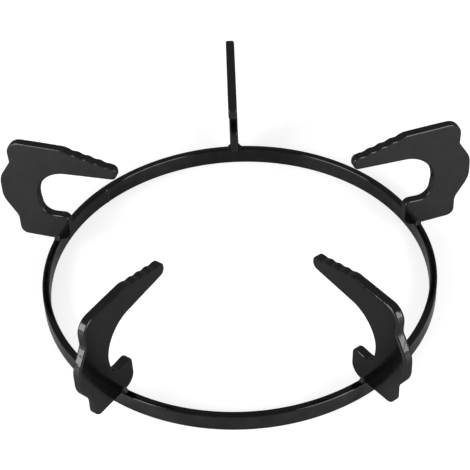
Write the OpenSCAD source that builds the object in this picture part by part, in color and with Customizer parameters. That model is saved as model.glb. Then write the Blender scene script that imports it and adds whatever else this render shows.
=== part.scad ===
// Wok ring for a gas hob: a hoop of flat bar on edge that carries five upright plate arms.
// Each arm is a hook in outline: a foot and heel stand on the hoop, a rounded back rises
// outside it, and a toothed finger reaches in over the burner to hold the wok.
// The origin is on the hoop's axis, in the plane that the hoop rests on. +Z is up, and
// the first arm points along +Y. Millimetres.

/* [Hoop] */
// Outside diameter of the hoop
ring_d = 220; // [180:1:300]
// Thickness of the flat bar, across the hoop's wall
bar_t = 4; // [3:0.5:6]
// Height of the flat bar, which stands on its edge
bar_h = 10.5; // [8:0.5:20]
// Rounding of the bar's edges
bar_edge_r = 0.8; // [0.2:0.1:1.2]

/* [Arms] */
// Thickness of the plate that the arms are cut from
arm_t = 5; // [4:0.5:8]
// Height of an arm's level top above the hoop
arm_rise = 66.4; // [63:0.2:90]
// Distance from the hoop's outside out to the foot
foot_out = 20.5; // [16:0.1:26]
// Distance from the hoop's outside out to the crown of the arm's back
back_out = 28.5; // [26:0.1:34]
// Height above the hoop where the back turns upright
back_low_z = 25.3; // [20:0.1:28]
// Height above the hoop where the back turns in again
back_high_z = 39.4; // [37:0.1:44]
// Radius of both turns of the arm's back
back_r = 15; // [8:0.5:22]
// Distance from the hoop's outside out to the narrow waist in the back
waist_out = 21.2; // [16:0.1:24]
// Height of the waist above the hoop
waist_z = 51.4; // [46:0.2:54]

/* [Finger] */
// Distance from the hoop's outside in to the fingertip
finger_in = 42.5; // [42:0.5:52]
// Depth of the finger at its tip
finger_tip_h = 7.1; // [6.5:0.1:9]
// Fall of the finger's toothed edge from the arm's level top to the tip
finger_fall = 7.8; // [5:0.1:10]
// Distance from the hoop's outside in to the end of the arm's level top
level_in = 11.8; // [8:0.1:12]
// Number of teeth on the finger
tooth_count = 4; // [1:1:4]
// Length of one tooth along the finger
tooth_pitch = 6.3; // [4:0.1:6.5]
// Depth of the hollow between two teeth
tooth_depth = 0.65; // [0.3:0.05:1]

/* [Hook and heel] */
// Height of the hook's roof above the hoop, where it meets the arm's back
roof_z = 48.2; // [44:0.2:50]
// Distance from the hoop's outside out to the middle of the hook's back wall
hook_out = 6.4; // [3:0.2:9]
// Radius of the hook's roof
roof_r = 19; // [12:0.5:20]
// Height of the heel above the hoop
heel_rise = 18.4; // [14:0.2:21]
// Distance from the hoop's outside in to the heel
heel_in = 11.3; // [8:0.1:14]

/* [Welds] */
// Leg of the fillet weld between an arm and the hoop
weld_leg = 2.4; // [1.5:0.1:3]

/* [Hidden] */

ARM_COUNT = 5;
ARM_STEP = 360 / ARM_COUNT;
FIRST_ARM = 90;
ring_r = ring_d / 2;
bore_r = ring_r - bar_t;

// Levels of the fingertip, and slope of the toothed edge
tip_top_z = arm_rise - finger_fall;
tip_low_z = tip_top_z - finger_tip_h;
slope = finger_fall / (finger_in - level_in);

// Smaller sizes of the arm's outline: leans are distances across, from upright
neck_z = 12.6;
shoulder_lean = 0.7;
tip_lean = 0.3;
hook_lean = 2;
heel_lean = 0.5;
heel_fall = 1;
heel_low_r = 7;
foot_r = 4.5;
neck_r = 8;
waist_r = 3;
shoulder_r = 8.2;
brow_r = 4;
tip_top_r = 3.4;
tip_low_r = 3.5;
hook_floor_r = 6.8;
heel_top_r = 3.7;

// Width of a weld's foot as a share of its leg, and thickness of its thin edges
BEAD_WIDTH = 0.8;
TOE = 0.35;

ARC_STEP = 6;
TOOTH_STEPS = 8;
BEAD_STEPS = 6;
RING_FN = 180;
BAR_EDGE_FN = 32;

// Corners of the arm before they are rounded, each with its radius: x runs outwards from
// the hoop's outside, and y up from its top edge
corners = [
    [-heel_in, 0, heel_low_r],
    [foot_out, 0, foot_r],
    [foot_out, neck_z, neck_r],
    [back_out, back_low_z, back_r],
    [back_out, back_high_z, back_r],
    [waist_out, waist_z, waist_r],
    [waist_out + shoulder_lean, arm_rise, shoulder_r],
    [-level_in, arm_rise, brow_r],
    [-finger_in, tip_top_z, tip_top_r],
    [-finger_in - tip_lean, tip_low_z, tip_low_r],
    [hook_out + hook_lean, roof_z, roof_r],
    [hook_out - hook_lean, heel_rise - heel_fall, hook_floor_r],
    [heel_lean - heel_in, heel_rise, heel_top_r]];
BROW = 7;

// Unit vector along v
function unit(v) = v / norm(v);

// Corner number i without its radius, counted round the outline
function spot(i) = let (k = corners[(i + len(corners)) % len(corners)]) [k[0], k[1]];

// Points of the arc of radius r that rounds the corner b between its neighbours a and c
function rounded(a, b, c, r) =
    let (u = unit(a - b), v = unit(c - b),
         half = acos(u * v) / 2,
         centre = b + unit(u + v) * r / sin(half),
         p = b + u * r / tan(half) - centre,
         q = b + v * r / tan(half) - centre,
         from = atan2(p[1], p[0]),
         turn = (atan2(q[1], q[0]) - from + 540) % 360 - 180,
         steps = max(2, ceil(abs(turn) / ARC_STEP)))
    [for (i = [0 : steps])
        let (angle = from + turn * i / steps)
        centre + r * [cos(angle), sin(angle)]];

// The toothed edge: hollows of a cosine wave under the straight line from brow to tip
function teeth() =
    let (n = tooth_count * TOOTH_STEPS, start = level_in + brow_r / 2)
    [for (i = [1 : n - 1])
        let (d = start + tooth_pitch * tooth_count * i / n,
             hollow = tooth_depth * (1 - cos(360 * i / TOOTH_STEPS)) / 2)
        [-d, arm_rise - slope * (d - level_in) - hollow]];

// The whole outline of an arm, in order round it
function arm_outline() =
    [for (i = [0 : len(corners) - 1])
        each concat(rounded(spot(i - 1), spot(i), spot(i + 1), corners[i][2]), i == BROW ? teeth() : [])];

// Places a shape that is drawn outwards along +X, from the hoop's outside, on arm number i
module at_arm(i) {
    rotate([0, 0, FIRST_ARM + ARM_STEP * i]) translate([ring_r, 0, bar_h]) children();
}

// Flat bar rolled on edge, butt-welded and dressed flush
module ring() {
    color("#1c1c1e") rotate_extrude($fn = RING_FN) translate([bore_r, 0]) bar_section();
}

// The bar's section: its inner lower edge is the square one that the bore is measured from
module bar_section() {
    square([bar_t - bar_edge_r, bar_h - bar_edge_r]);
    translate([bar_edge_r, bar_edge_r]) square([bar_t - 2 * bar_edge_r, bar_h - bar_edge_r]);
    translate([bar_edge_r, bar_edge_r]) square([bar_t - bar_edge_r, bar_h - 2 * bar_edge_r]);
    for (p = [[bar_edge_r, bar_h - bar_edge_r], [bar_t - bar_edge_r, bar_h - bar_edge_r],
              [bar_t - bar_edge_r, bar_edge_r]])
        translate(p) circle(bar_edge_r, $fn = BAR_EDGE_FN);
}

// One arm, cut from plate and stood upright on the hoop
module arm(i) {
    color("#303032") at_arm(i) rotate([90, 0, 0]) translate([0, 0, -arm_t / 2])
        linear_extrude(arm_t) polygon(arm_outline());
}

// The two fillet welds of one arm, one in each corner between the plate and the hoop's top
module weld(i) {
    color("#28282a") at_arm(i) for (side = [-1, 1])
        translate([-bar_t + bar_edge_r / 2, side * arm_t / 2, 0])
            rotate([90, 0, 90]) linear_extrude(bar_t - bar_edge_r) scale([side, 1]) bead_section();
}

// Section of a weld, against the plate at x = 0 and the hoop at y = 0, with a hollow face
module bead_section() {
    foot = weld_leg * BEAD_WIDTH;
    polygon(concat([[0, 0], [foot, 0], [foot, TOE]],
        [for (i = [1 : BEAD_STEPS - 1])
            let (a = 90 * i / BEAD_STEPS)
            [foot * (1 - sin(a)) + TOE * sin(a) / 2, weld_leg * (1 - cos(a)) + TOE * cos(a)]],
        [[TOE / 2, weld_leg], [0, weld_leg]]));
}

ring();
for (i = [0 : ARM_COUNT - 1]) {
    arm(i);
    weld(i);
}
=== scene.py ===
"""Looks of a wok ring: a hoop of flat bar, five hooked plate arms and their welds, in black enamel."""

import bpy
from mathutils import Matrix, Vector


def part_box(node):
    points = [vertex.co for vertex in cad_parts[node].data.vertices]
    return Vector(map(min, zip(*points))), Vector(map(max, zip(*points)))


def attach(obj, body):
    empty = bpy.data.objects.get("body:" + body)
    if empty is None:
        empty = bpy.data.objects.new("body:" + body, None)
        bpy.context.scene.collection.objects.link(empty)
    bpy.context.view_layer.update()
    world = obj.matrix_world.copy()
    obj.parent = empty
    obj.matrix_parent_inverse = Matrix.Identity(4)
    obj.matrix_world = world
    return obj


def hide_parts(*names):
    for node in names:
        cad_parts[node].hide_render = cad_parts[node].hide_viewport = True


bl_info = {
    "name": "Wok ring",
    "version": (1, 0, 0),
    "blender": (4, 5, 0),
    "location": "3D View > Sidebar > Wok ring",
    "description": "Dresses the wok ring's hoop, arms and welds in black enamel, on a pale floor",
    "category": "Add Mesh",
}

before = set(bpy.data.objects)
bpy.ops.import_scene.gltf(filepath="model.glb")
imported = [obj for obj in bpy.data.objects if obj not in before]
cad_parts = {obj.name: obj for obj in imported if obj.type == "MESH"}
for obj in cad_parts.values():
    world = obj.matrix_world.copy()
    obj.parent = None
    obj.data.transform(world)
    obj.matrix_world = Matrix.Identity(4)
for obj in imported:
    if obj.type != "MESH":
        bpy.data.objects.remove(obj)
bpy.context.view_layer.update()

from math import cos, pi, radians, sin

import bpy
import numpy as np
from bpy.props import FloatProperty, FloatVectorProperty, IntProperty, PointerProperty
from mathutils import Matrix, Vector

BODY = "root"
MM = 0.001
HOOP_LOW, HOOP_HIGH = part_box("ring")
BACK_LOW, BACK_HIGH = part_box("arm_back")
# The arms in order round the hoop, counter-clockwise from the back one
ARMS = ("back", "left", "front_left", "front_right", "right")
# The arms whose plates were welded on with the burr side the other way round
TURNED = ("right",)


class HoopSizes(bpy.types.PropertyGroup):
    """Sizes of the hoop."""

    radius: FloatProperty(
        name="Radius", description="Outside radius of the hoop", default=HOOP_HIGH.x, unit="LENGTH")
    height: FloatProperty(
        name="Height", description="Height of the flat bar", default=HOOP_HIGH.z, unit="LENGTH")
    wall: FloatProperty(
        name="Wall", description="Thickness of the flat bar", default=4 * MM, unit="LENGTH")
    edge: FloatProperty(
        name="Edge", description="Rounding of the bar's edges", default=1 * MM, unit="LENGTH")
    seam_angle: FloatProperty(
        name="Seam", description="Where the bar's two ends are welded together",
        default=radians(136.3), subtype="ANGLE")


class ArmSizes(bpy.types.PropertyGroup):
    """Sizes of one arm: distances in and out are from the hoop's outside, heights from its top."""

    thickness: FloatProperty(
        name="Thickness", description="Thickness of the plate",
        default=BACK_HIGH.x - BACK_LOW.x, unit="LENGTH")
    edge: FloatProperty(
        name="Edge", description="Rounding of the edges on the plate's burr side", default=0.9 * MM,
        unit="LENGTH")
    roll_width: FloatProperty(
        name="Roll width", description="How far the edges on the plate's other side are rolled over",
        default=1.8 * MM, unit="LENGTH")
    roll_depth: FloatProperty(
        name="Roll depth", description="How deep those edges are rolled over", default=1.1 * MM,
        unit="LENGTH")
    rise: FloatProperty(
        name="Rise", description="Height of the arm's level top",
        default=BACK_HIGH.z - HOOP_HIGH.z, unit="LENGTH")
    foot_out: FloatProperty(
        name="Foot", description="Distance out to the foot", default=20.5 * MM, unit="LENGTH")
    back_out: FloatProperty(
        name="Back", description="Distance out to the crown of the arm's back",
        default=BACK_HIGH.y - HOOP_HIGH.x, unit="LENGTH")
    back_low: FloatProperty(
        name="Back low", description="Height where the back turns upright", default=25.3 * MM, unit="LENGTH")
    back_high: FloatProperty(
        name="Back high", description="Height where the back turns in again", default=39.4 * MM,
        unit="LENGTH")
    waist_out: FloatProperty(
        name="Waist", description="Distance out to the waist in the arm's back", default=21.2 * MM,
        unit="LENGTH")
    waist_z: FloatProperty(
        name="Waist height", description="Height of the waist", default=51.4 * MM, unit="LENGTH")
    finger_in: FloatProperty(
        name="Finger", description="Distance in to the fingertip", default=42.5 * MM, unit="LENGTH")
    finger_tip: FloatProperty(
        name="Fingertip", description="Depth of the finger at its tip", default=7.1 * MM, unit="LENGTH")
    finger_fall: FloatProperty(
        name="Fall", description="Fall of the toothed edge towards the tip", default=7.8 * MM, unit="LENGTH")
    level_in: FloatProperty(
        name="Level top", description="Distance in to the end of the level top", default=11.8 * MM,
        unit="LENGTH")
    roof_z: FloatProperty(
        name="Roof", description="Height of the hook's roof at the back", default=48.2 * MM, unit="LENGTH")
    hook_out: FloatProperty(
        name="Hook", description="Distance out to the hook's back wall", default=6.4 * MM, unit="LENGTH")
    heel_rise: FloatProperty(
        name="Heel height", description="Height of the heel", default=18.4 * MM, unit="LENGTH")
    heel_in: FloatProperty(
        name="Heel", description="Distance in to the heel", default=11.3 * MM, unit="LENGTH")
    tooth_count: IntProperty(
        name="Teeth", description="Number of teeth on the finger", default=4, min=1, max=6)
    tooth_pitch: FloatProperty(
        name="Tooth pitch", description="Length of one tooth", default=6.3 * MM, unit="LENGTH")
    tooth_depth: FloatProperty(
        name="Tooth depth", description="Depth of the hollow between two teeth", default=0.65 * MM,
        unit="LENGTH")


class WeldSizes(bpy.types.PropertyGroup):
    """Sizes of the fillet welds."""

    leg: FloatProperty(
        name="Leg", description="Height of the bead up the plate", default=2.4 * MM, unit="LENGTH")
    ripples: IntProperty(
        name="Ripples", description="Number of ripples along one bead", default=3, min=1, max=8)


class EnamelLook(bpy.types.PropertyGroup):
    """Colour and gloss of the enamel."""

    colour: FloatVectorProperty(
        name="Colour", description="Colour of the enamel", default=(0.0022, 0.0022, 0.0023), subtype="COLOR",
        size=3, min=0, max=1)
    roughness: FloatProperty(
        name="Roughness", description="Roughness of the enamel", default=0.135, min=0, max=1)
    glaze: FloatProperty(
        name="Glaze", description="Share of the glaze in the surface", default=0.2, min=0, max=1)
    glaze_index: FloatProperty(
        name="Index", description="Index of refraction of the glaze", default=2.6, min=1, max=3)
    peel_size: FloatProperty(
        name="Peel size", description="Width of one dimple of the orange peel", default=1.6 * MM,
        unit="LENGTH")
    peel_depth: FloatProperty(
        name="Peel depth", description="Depth of the orange peel", default=0.02 * MM, unit="LENGTH")
    run_depth: FloatProperty(
        name="Run depth", description="Depth of the runs on the cut edges", default=0.1 * MM,
        unit="LENGTH")


class StageLook(bpy.types.PropertyGroup):
    """Floor, lamps and camera."""

    floor_colour: FloatVectorProperty(
        name="Floor", description="Colour of the floor", default=(0.6, 0.6, 0.6), subtype="COLOR",
        size=3, min=0, max=1)
    floor_roughness: FloatProperty(
        name="Floor's roughness", description="Roughness of the satin floor", default=0.35, min=0, max=1)
    floor_glow: FloatProperty(
        name="Floor's own light", description="Light of the floor itself for the camera", default=0.64,
        min=0, max=1)
    mirrored_glow: FloatProperty(
        name="Floor in reflections", description="Light of the floor itself in reflections", default=0.05,
        min=0, max=1)
    floor_size: FloatProperty(
        name="Floor size", description="Half the width of the floor", default=6, unit="LENGTH")
    lamp_power: FloatProperty(
        name="Lamp", description="Power of each soft lamp, in watts", default=24, unit="POWER")
    lens: FloatProperty(
        name="Lens", description="Focal length of the camera, in millimetres", default=115.995,
        unit="CAMERA")


# Surfaces

def grid_faces(rows, columns, wrap_rows=False, wrap_columns=True, first=0):
    """Quads of a grid of vertices: corner (i, j) is vertex first + i * columns + j, and the last
    row or column joins the first one where the grid wraps."""
    i = np.arange(rows if wrap_rows else rows - 1)[:, None]
    j = np.arange(columns if wrap_columns else columns - 1)[None, :]
    next_i = (i + 1) % rows
    next_j = (j + 1) % columns
    quads = np.stack([i * columns + j, i * columns + next_j, next_i * columns + next_j,
                      next_i * columns + j], axis=-1)
    return quads.reshape(-1, 4) + first


def add_piece(name, points, faces, rim, node, finish):
    """A smooth mesh from an array of points and a list of faces, which stands for a node. The
    attribute rim, one value for each point, says where the enamel lies on a cut edge."""
    mesh = bpy.data.meshes.new(name)
    mesh.from_pydata(points.tolist(), [], faces)
    mesh.attributes.new("rim", "FLOAT", "POINT").data.foreach_set("value", rim.astype(np.float32))
    mesh.polygons.foreach_set("use_smooth", np.ones(len(mesh.polygons), dtype=bool))
    mesh.materials.append(finish)
    piece = bpy.data.objects.new(name, mesh)
    bpy.context.scene.collection.objects.link(piece)
    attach(piece, BODY)
    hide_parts(node)
    return piece


def fillet(before, corner, after, radius, step):
    """Points of the arc of that radius that touches both sides of a corner: its centre lies on
    the corner's bisector, radius / sin(half the angle) away, and the arc turns at an even rate
    from one touching point to the other."""
    to_before = (before - corner) / np.linalg.norm(before - corner)
    to_after = (after - corner) / np.linalg.norm(after - corner)
    half = np.arccos(np.clip(to_before @ to_after, -1, 1)) / 2
    bisector = (to_before + to_after) / np.linalg.norm(to_before + to_after)
    centre = corner + bisector * radius / np.sin(half)
    start = corner + to_before * radius / np.tan(half) - centre
    end = corner + to_after * radius / np.tan(half) - centre
    first = np.arctan2(start[1], start[0])
    turn = (np.arctan2(end[1], end[0]) - first + pi) % (2 * pi) - pi
    count = max(3, int(np.ceil(abs(turn) * radius / step)))
    angles = first + turn * np.linspace(0, 1, count + 1)
    return centre + radius * np.stack([np.cos(angles), np.sin(angles)], axis=1)


def arm_corners(s):
    """Corners of an arm's outline with their radii: out from the hoop's outside, and up."""
    tip_top = s.rise - s.finger_fall
    tip_low = tip_top - s.finger_tip
    return [
        (-s.heel_in, 0, 7 * MM),
        (s.foot_out, 0, 4.5 * MM),
        (s.foot_out, 12.6 * MM, 8 * MM),
        (s.back_out, s.back_low, 15 * MM),
        (s.back_out, s.back_high, 15 * MM),
        (s.waist_out, s.waist_z, 3 * MM),
        (s.waist_out + 0.7 * MM, s.rise, 8.2 * MM),
        (-s.level_in, s.rise, BROW_RADIUS),
        (-s.finger_in, tip_top, 3.4 * MM),
        (-s.finger_in - 0.3 * MM, tip_low, 3.5 * MM),
        (s.hook_out + 2 * MM, s.roof_z, 19 * MM),
        (s.hook_out - 2 * MM, s.heel_rise - 1 * MM, 6.8 * MM),
        (0.5 * MM - s.heel_in, s.heel_rise, 3.7 * MM)]


BROW_CORNER = 7
BROW_RADIUS = 4 * MM


def tooth_line(s, step):
    """The toothed edge: hollows of a cosine wave, tooth_depth deep, under the straight line that
    falls from the brow to the fingertip."""
    length = s.tooth_pitch * s.tooth_count
    count = int(length / step)
    along = length * np.arange(1, count) / count
    inwards = s.level_in + BROW_RADIUS / 2 + along
    line = s.rise - s.finger_fall / (s.finger_in - s.level_in) * (inwards - s.level_in)
    hollow = s.tooth_depth * (1 - np.cos(2 * pi * along / s.tooth_pitch)) / 2
    return np.stack([-inwards, line - hollow], axis=1)


def arm_outline(s, step):
    """The whole outline of an arm, counter-clockwise, with points about a step apart."""
    corners = arm_corners(s)
    spots = np.array([corner[:2] for corner in corners])
    parts = []
    for k, corner in enumerate(corners):
        parts.append(fillet(spots[k - 1], spots[k], spots[(k + 1) % len(corners)], corner[2], step))
        if k == BROW_CORNER:
            parts.append(tooth_line(s, step))
    bends = np.concatenate(parts)
    return even_points(bends, step)


def even_points(outline, step):
    """A closed outline with points added along its straight stretches, so that none is longer
    than two steps."""
    ends = np.roll(outline, -1, axis=0)
    lengths = np.linalg.norm(ends - outline, axis=1)
    counts = np.maximum(1, np.ceil(lengths / (2 * step)).astype(int))
    start = np.repeat(outline, counts, axis=0)
    end = np.repeat(ends, counts, axis=0)
    offset = np.arange(counts.sum()) - np.repeat(np.cumsum(counts) - counts, counts)
    share = offset / np.repeat(counts, counts)
    return start + (end - start) * share[:, None]


def outward_normals(outline):
    """Normals of a closed counter-clockwise outline: the chord from the point before to the point
    after, turned a quarter turn to the right. Each chord is weighed by the other's length."""
    back = outline - np.roll(outline, 1, axis=0)
    ahead = np.roll(outline, -1, axis=0) - outline
    back_length = np.linalg.norm(back, axis=1, keepdims=True)
    ahead_length = np.linalg.norm(ahead, axis=1, keepdims=True)
    tangent = back / back_length ** 2 + ahead / ahead_length ** 2
    tangent /= np.linalg.norm(tangent, axis=1, keepdims=True)
    return np.stack([tangent[:, 1], -tangent[:, 0]], axis=1)


def rim_section(s, width, depth, steps=7):
    """Section across a punched plate's rim, from its burr side to the other: how far each point is
    inside the outline, and how far across the plate. It has a quarter circle round the burr side's
    edge, a quarter ellipse of that width and depth round the other, and a point past each end of
    them to keep the flats flat."""
    turn = np.linspace(0, pi / 2, steps + 1)
    half = s.thickness / 2
    inset = np.concatenate([
        [1.4 * s.edge], s.edge * (1 - np.sin(turn)), [0],
        [0], width * (1 - np.cos(turn)), [1.3 * width]])
    across = np.concatenate([
        [half], half - s.edge * (1 - np.cos(turn)), [half - 1.4 * s.edge],
        [1.2 * depth - half], depth * (1 - np.sin(turn)) - half, [-half]])
    return inset, across


def arm_mesh(s, hoop, angle, turned):
    """An arm stood on the hoop at an angle: the rim's section is carried round the outline, and
    each face is closed by one polygon. Outside the hoop the section changes evenly from one with
    two sharp edges to the rolled one. A turned plate has its burr side clockwise of it."""
    outline = arm_outline(s, 0.7 * MM)
    normals = outward_normals(outline)
    sharp = np.stack(rim_section(s, s.edge, s.edge))
    rolled = np.stack(rim_section(s, s.roll_width, s.roll_depth))
    share = np.clip(outline[:, 0] / s.waist_out, 0, 1)
    inset, side = sharp[:, :, None] + (rolled - sharp)[:, :, None] * share
    if turned:
        inset, side = inset[::-1], -side[::-1]
    flat = outline[None, :, :] - normals[None, :, :] * inset[:, :, None]
    radial = hoop.radius + flat[:, :, 0]
    height = hoop.height + flat[:, :, 1]
    points = np.stack([radial * cos(angle) - side * sin(angle),
                       radial * sin(angle) + side * cos(angle), height], axis=-1).reshape(-1, 3)
    rows, columns = radial.shape
    faces = grid_faces(rows, columns).tolist()
    faces.append(list(range(columns - 1, -1, -1)))
    faces.append(list(range((rows - 1) * columns, rows * columns)))
    rim = 1 - np.clip(inset / s.edge, 0, 1)
    return points, faces, rim.ravel()


def hoop_section(s, steps=6):
    """Section of the flat bar, counter-clockwise from its outer lower corner: a rectangle with
    four rounded corners and a point just past each end of a corner."""
    turn = np.concatenate([[-0.2], np.linspace(0, pi / 2, steps + 1), [pi / 2 + 0.2]])
    on_arc = np.clip(turn, 0, pi / 2)
    past = (turn - on_arc) * 3 * s.edge
    corner = np.stack([s.edge * np.cos(on_arc) - np.maximum(past, 0),
                       s.edge * np.sin(on_arc) + np.minimum(past, 0)], axis=1)
    middle = np.array([s.wall / 2 - s.edge, s.height / 2 - s.edge])
    upper_out = corner + middle
    upper_in = upper_out[::-1] * [-1, 1]
    section = np.concatenate([upper_out, upper_in, -upper_out, -upper_in])
    return section + [s.radius - s.wall / 2, s.height / 2]


def hoop_mesh(s):
    """The bar's section carried round the axis. The bar bulges a little where its ends are welded:
    a bell curve of the distance along the hoop from the seam."""
    section = hoop_section(s)
    even = np.linspace(0, 2 * pi, 720, endpoint=False)
    close = s.seam_angle + np.linspace(-3, 3, 41) * MM / s.radius
    angles = np.unique(np.concatenate([even, close]))
    from_seam = (angles - s.seam_angle) * s.radius
    bulge = 0.25 * MM * np.exp(-(from_seam / (0.6 * MM)) ** 2)
    middle = np.array([s.radius - s.wall / 2, s.height / 2])
    side = np.clip((middle[0] - section[:, 0]) / (s.wall / 2), 0, 1)
    radial = section[None, :, 0] - bulge[:, None] * side[None, :]
    points = np.stack([radial * np.cos(angles)[:, None], radial * np.sin(angles)[:, None],
                       np.broadcast_to(section[None, :, 1], radial.shape)], axis=-1)
    rows, columns = radial.shape
    faces = grid_faces(rows, columns, wrap_rows=True)[:, ::-1].tolist()
    return points.reshape(-1, 3), faces


def weld_mesh(s, hoop, arm, angle):
    """Both beads of an arm. A bead's section, a quarter circle hollow, is carried across the
    bar's top, swells in ripples as a cosine, and shrinks to nothing at its two ends."""
    rows, columns = 33, 13
    along = np.linspace(-1, 1, rows)
    length = hoop.wall / 2 - 0.15 * MM
    ends = np.sqrt(np.clip(1 - np.abs(along) ** 5, 0, 1))
    ripple = 1 + 0.06 * np.cos(2 * pi * s.ripples * along)
    size = s.leg * ends * ripple
    turn = np.linspace(0, pi / 2, columns)
    away = 0.8 * (1 - np.sin(turn)) + 0.16 * np.sin(2 * turn)
    up = 1 - np.cos(turn) + 0.16 * np.sin(2 * turn)
    sunk = -0.2
    away = np.concatenate([[sunk], away, [sunk]])
    up = np.concatenate([[sunk], up, [sunk]])
    away, up = np.append(away[1:-1], sunk), np.append(up[1:-1], sunk)
    radial = hoop.radius - hoop.wall / 2 + along * length
    points, faces = [], []
    for side in (1, -1):
        first = sum(len(p) for p in points)
        distance = side * (arm.thickness / 2 + size[:, None] * away[None, :])
        height = hoop.height + size[:, None] * up[None, :]
        out = np.broadcast_to(radial[:, None], distance.shape)
        points.append(np.stack([out * cos(angle) - distance * sin(angle),
                                out * sin(angle) + distance * cos(angle), height], axis=-1).reshape(-1, 3))
        quads = grid_faces(rows, len(away), first=first)
        caps = [list(range(first + len(away) - 1, first - 1, -1)),
                list(range(first + (rows - 1) * len(away), first + rows * len(away)))]
        if side == 1:
            quads = quads[:, ::-1]
            caps = [cap[::-1] for cap in caps]
        faces += quads.tolist() + caps
    return np.concatenate(points), faces


# Finishes

class Value:
    """A socket that takes part in sums: each operator adds one Math node."""

    def __init__(self, recipe, socket):
        self.recipe = recipe
        self.socket = socket

    def _math(self, operation, first, second):
        node = self.recipe.add("ShaderNodeMath", {"operation": operation}, {0: first, 1: second})
        return Value(self.recipe, node.outputs[0])

    def __add__(self, other):
        return self._math("ADD", self, other)

    def __sub__(self, other):
        return self._math("SUBTRACT", self, other)

    def __rsub__(self, other):
        return self._math("SUBTRACT", other, self)

    def __mul__(self, other):
        return self._math("MULTIPLY", self, other)

    __radd__ = __add__
    __rmul__ = __mul__


class Recipe:
    """The node tree of one finish."""

    def __init__(self, owner):
        owner.use_nodes = True
        self.tree = owner.node_tree
        self.tree.nodes.clear()

    def add(self, kind, settings, sockets):
        """A new node of a kind: its settings first, then the values or links of its sockets."""
        node = self.tree.nodes.new(kind)
        for name, value in settings.items():
            setattr(node, name, value)
        for name, value in sockets.items():
            value = value.socket if isinstance(value, Value) else value
            if isinstance(value, bpy.types.NodeSocket):
                self.tree.links.new(value, node.inputs[name])
            else:
                node.inputs[name].default_value = value
        return node

    def noise(self, where, size, detail=2.0):
        """Noise whose lumps are about that size across, in metres, from 0 to 1."""
        node = self.add("ShaderNodeTexNoise", {}, {"Vector": where, "Scale": 1 / size, "Detail": detail})
        return Value(self, node.outputs["Fac"])


def enamel(name, look, share, index, roughness, peel, unevenness):
    """Black enamel: a matt black body under a dense glaze, which gives nearly as much of the
    light back from the front as from the side. It has orange peel, coarser where it has run
    over a cut edge, and an uneven gloss."""
    finish = bpy.data.materials.get(name)
    if finish:
        return finish
    finish = bpy.data.materials.new(name)
    recipe = Recipe(finish)
    where = recipe.add("ShaderNodeTexCoord", {}, {}).outputs["Object"]
    dimples = recipe.noise(where, look.peel_size, 1.0)
    waves = recipe.noise(where, 7 * MM, 1.5)
    cloud = recipe.noise(where, 4 * MM, 3.0)
    runs = recipe.noise(where, 2.4 * MM, 1.0)
    rim = Value(recipe, recipe.add("ShaderNodeAttribute", {"attribute_name": "rim"}, {}).outputs["Fac"])
    height = (dimples * (peel * look.peel_depth) + waves * (2.5 * look.peel_depth)
              + rim * runs * (look.run_depth))
    bump = recipe.add("ShaderNodeBump", {}, {"Strength": 1.0, "Distance": 1.0, "Height": height})
    colour = (*look.colour, 1)
    pale = (*(2.2 * c for c in look.colour), 1)
    mixed = recipe.add("ShaderNodeMix", {"data_type": "RGBA"}, {"Factor": cloud, 6: colour, 7: pale})
    body = recipe.add("ShaderNodeBsdfPrincipled", {}, {
        "Base Color": mixed.outputs[2],
        "Roughness": 0.6,
        "Specular IOR Level": 0.0,
        "Normal": bump.outputs["Normal"]})
    glaze = recipe.add("ShaderNodeBsdfPrincipled", {}, {
        "Base Color": (0.0, 0.0, 0.0, 1.0),
        "Roughness": cloud * (0.8 * roughness) + 0.6 * roughness,
        "IOR": index,
        "Normal": bump.outputs["Normal"]})
    surface = recipe.add("ShaderNodeMixShader", {}, {
        "Fac": waves * (unevenness * share) + share * (1 - unevenness / 2),
        1: body.outputs[0], 2: glaze.outputs[0]})
    recipe.add("ShaderNodeOutputMaterial", {}, {"Surface": surface.outputs[0]})
    return finish


# Operators

def settings():
    """The add-on's sizes and looks."""
    return bpy.context.scene.wok_ring


class WOKRING_OT_hoop(bpy.types.Operator):
    """Make the hoop of flat bar"""

    bl_idname = "wokring.hoop"
    bl_label = "Hoop"

    def execute(self, context):
        s = settings()
        finish = enamel("bar_enamel", s.enamel, 0.7, 1.5, 0.6 * s.enamel.roughness, 0.6, 0.8)
        points, faces = hoop_mesh(s.hoop)
        add_piece("hoop", points, faces, np.zeros(len(points)), "ring", finish)
        return {"FINISHED"}


class WOKRING_OT_arms(bpy.types.Operator):
    """Make the five hooked plate arms"""

    bl_idname = "wokring.arms"
    bl_label = "Arms"

    def execute(self, context):
        s = settings()
        finish = enamel("plate_enamel", s.enamel, s.enamel.glaze, s.enamel.glaze_index,
                        s.enamel.roughness, 1.0, 0.3)
        for k, place in enumerate(ARMS):
            angle = pi / 2 + 2 * pi * k / len(ARMS)
            points, faces, rim = arm_mesh(s.arm, s.hoop, angle, place in TURNED)
            add_piece(f"hook_{place}", points, faces, rim, f"arm_{place}", finish)
        return {"FINISHED"}


class WOKRING_OT_welds(bpy.types.Operator):
    """Make the fillet welds between the arms and the hoop"""

    bl_idname = "wokring.welds"
    bl_label = "Welds"

    def execute(self, context):
        s = settings()
        finish = enamel("weld_enamel", s.enamel, 0.4, 1.5, 1.2 * s.enamel.roughness, 1.5, 0.3)
        for k, place in enumerate(ARMS):
            points, faces = weld_mesh(s.weld, s.hoop, s.arm, pi / 2 + 2 * pi * k / len(ARMS))
            add_piece(f"beads_{place}", points, faces, np.zeros(len(points)), f"weld_{place}",
                      finish)
        return {"FINISHED"}


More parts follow.
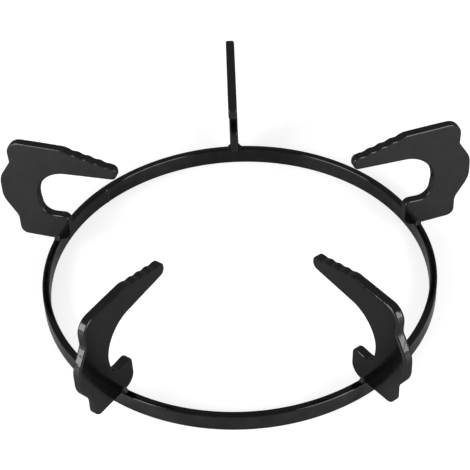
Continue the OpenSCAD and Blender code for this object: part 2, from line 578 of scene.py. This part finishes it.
def add_floor(look):
    """A flat pale floor. Its own light lifts it to white for the camera and in reflections, and it
    keeps the object's shadow."""
    half = look.floor_size
    mesh = bpy.data.meshes.new("floor")
    mesh.from_pydata([(-half, -half, 0), (half, -half, 0), (half, half, 0), (-half, half, 0)], [], [(0, 1, 2, 3)])
    floor = bpy.data.objects.new("floor", mesh)
    bpy.context.scene.collection.objects.link(floor)
    finish = bpy.data.materials.new("floor_paper")
    recipe = Recipe(finish)
    light_path = recipe.add("ShaderNodeLightPath", {}, {})
    mirrored = (Value(recipe, light_path.outputs["Is Glossy Ray"])
                + Value(recipe, light_path.outputs["Is Transmission Ray"]))
    own_light = (Value(recipe, light_path.outputs["Is Camera Ray"]) * look.floor_glow
                 + mirrored * look.mirrored_glow)
    surface = recipe.add("ShaderNodeBsdfPrincipled", {}, {
        "Base Color": (*look.floor_colour, 1),
        "Roughness": look.floor_roughness,
        "IOR": 1.6})
    glow = recipe.add("ShaderNodeEmission", {}, {"Strength": own_light})
    both = recipe.add("ShaderNodeAddShader", {}, {0: surface.outputs[0], 1: glow.outputs[0]})
    recipe.add("ShaderNodeOutputMaterial", {}, {"Surface": both.outputs[0]})
    mesh.materials.append(finish)


def add_lamp(name, place, width, power):
    """A square soft lamp that faces the object."""
    data = bpy.data.lights.new(name, "AREA")
    data.energy = power
    data.size = width
    lamp = bpy.data.objects.new(name, data)
    bpy.context.scene.collection.objects.link(lamp)
    place = Vector(place)
    turn = (-place).to_track_quat("-Z", "Y").to_matrix().to_4x4()
    lamp.matrix_world = Matrix.Translation(place) @ turn


def add_camera(look):
    """The camera: turned right by the yaw from +Y, down by the pitch, and rolled about its line of
    sight."""
    place = (3.16 * MM, -618.05 * MM, 589.12 * MM)
    yaw, pitch, roll = -0.00742, 0.73064, 0.04712
    ahead = np.array([sin(yaw) * cos(pitch), cos(yaw) * cos(pitch), -sin(pitch)])
    right = np.array([cos(yaw), -sin(yaw), 0])
    down = np.cross(ahead, right)
    across = cos(roll) * right + sin(roll) * down
    below = cos(roll) * down - sin(roll) * right
    data = bpy.data.cameras.new("camera")
    data.sensor_fit = "HORIZONTAL"
    data.sensor_width = 36
    data.lens = look.lens
    camera = bpy.data.objects.new("camera", data)
    bpy.context.scene.collection.objects.link(camera)
    turn = Matrix(np.stack([across, -below, -ahead], axis=1).tolist()).to_4x4()
    camera.matrix_world = Matrix.Translation(place) @ turn
    bpy.context.scene.camera = camera


def set_world():
    """Pale at and below the horizon, and dark overhead, as in a studio with a white table."""
    world = bpy.data.worlds.new("studio")
    bpy.context.scene.world = world
    recipe = Recipe(world)
    where = recipe.add("ShaderNodeTexCoord", {}, {}).outputs["Object"]
    split = recipe.add("ShaderNodeSeparateXYZ", {}, {"Vector": where})
    fade = recipe.add("ShaderNodeMapRange", {}, {
        "Value": split.outputs["Z"], "From Min": 0.05, "From Max": 0.5, "To Min": 0.48, "To Max": 0.29})
    light_path = recipe.add("ShaderNodeLightPath", {}, {})
    seen = Value(recipe, light_path.outputs["Is Camera Ray"])
    strength = seen + (1 - seen) * Value(recipe, fade.outputs[0])
    light = recipe.add("ShaderNodeBackground", {}, {"Color": (1, 1, 1, 1), "Strength": strength})
    recipe.add("ShaderNodeOutputWorld", {}, {"Surface": light.outputs[0]})


class WOKRING_OT_stage(bpy.types.Operator):
    """Make the floor, the lamps, the world and the camera"""

    bl_idname = "wokring.stage"
    bl_label = "Stage"

    def execute(self, context):
        look = settings().stage
        add_floor(look)
        add_lamp("left_lamp", (-1.27, -0.65, 0.61), 1.0, look.lamp_power)
        add_lamp("right_lamp", (1.07, -0.96, 0.61), 1.0, 0.9 * look.lamp_power)
        set_world()
        add_camera(look)
        context.scene.view_settings.view_transform = "Standard"
        return {"FINISHED"}


class WokRingSettings(bpy.types.PropertyGroup):
    """All sizes and looks of the wok ring."""

    hoop: PointerProperty(type=HoopSizes, name="Hoop", description="Sizes of the hoop")
    arm: PointerProperty(type=ArmSizes, name="Arm", description="Sizes of one arm")
    weld: PointerProperty(type=WeldSizes, name="Weld", description="Sizes of the welds")
    enamel: PointerProperty(type=EnamelLook, name="Enamel", description="Look of the enamel")
    stage: PointerProperty(type=StageLook, name="Stage", description="Floor, lamps and camera")


class WOKRING_PT_panel(bpy.types.Panel):
    """Sidebar panel with a button for each group of pieces"""

    bl_idname = "WOKRING_PT_panel"
    bl_label = "Wok ring"
    bl_space_type = "VIEW_3D"
    bl_region_type = "UI"
    bl_category = "Wok ring"

    def draw(self, context):
        s = context.scene.wok_ring
        for operator, sizes in ((WOKRING_OT_hoop, s.hoop), (WOKRING_OT_arms, s.arm),
                                (WOKRING_OT_welds, s.weld), (None, s.enamel), (WOKRING_OT_stage, s.stage)):
            box = self.layout.box()
            for name in sizes.bl_rna.properties.keys():
                if name not in ("rna_type", "name"):
                    box.prop(sizes, name)
            if operator:
                box.operator(operator.bl_idname)


CLASSES = (HoopSizes, ArmSizes, WeldSizes, EnamelLook, StageLook, WokRingSettings, WOKRING_OT_hoop,
           WOKRING_OT_arms, WOKRING_OT_welds, WOKRING_OT_stage, WOKRING_PT_panel)


def register():
    """Add the classes and the scene's settings."""
    for each in CLASSES:
        bpy.utils.register_class(each)
    bpy.types.Scene.wok_ring = PointerProperty(type=WokRingSettings)


def unregister():
    """Take the settings and the classes away again."""
    del bpy.types.Scene.wok_ring
    for each in reversed(CLASSES):
        bpy.utils.unregister_class(each)


def main():
    """Make every piece and the stage."""
    register()
    bpy.ops.wokring.hoop()
    bpy.ops.wokring.arms()
    bpy.ops.wokring.welds()
    bpy.ops.wokring.stage()


if __name__ == "__main__":
    main()
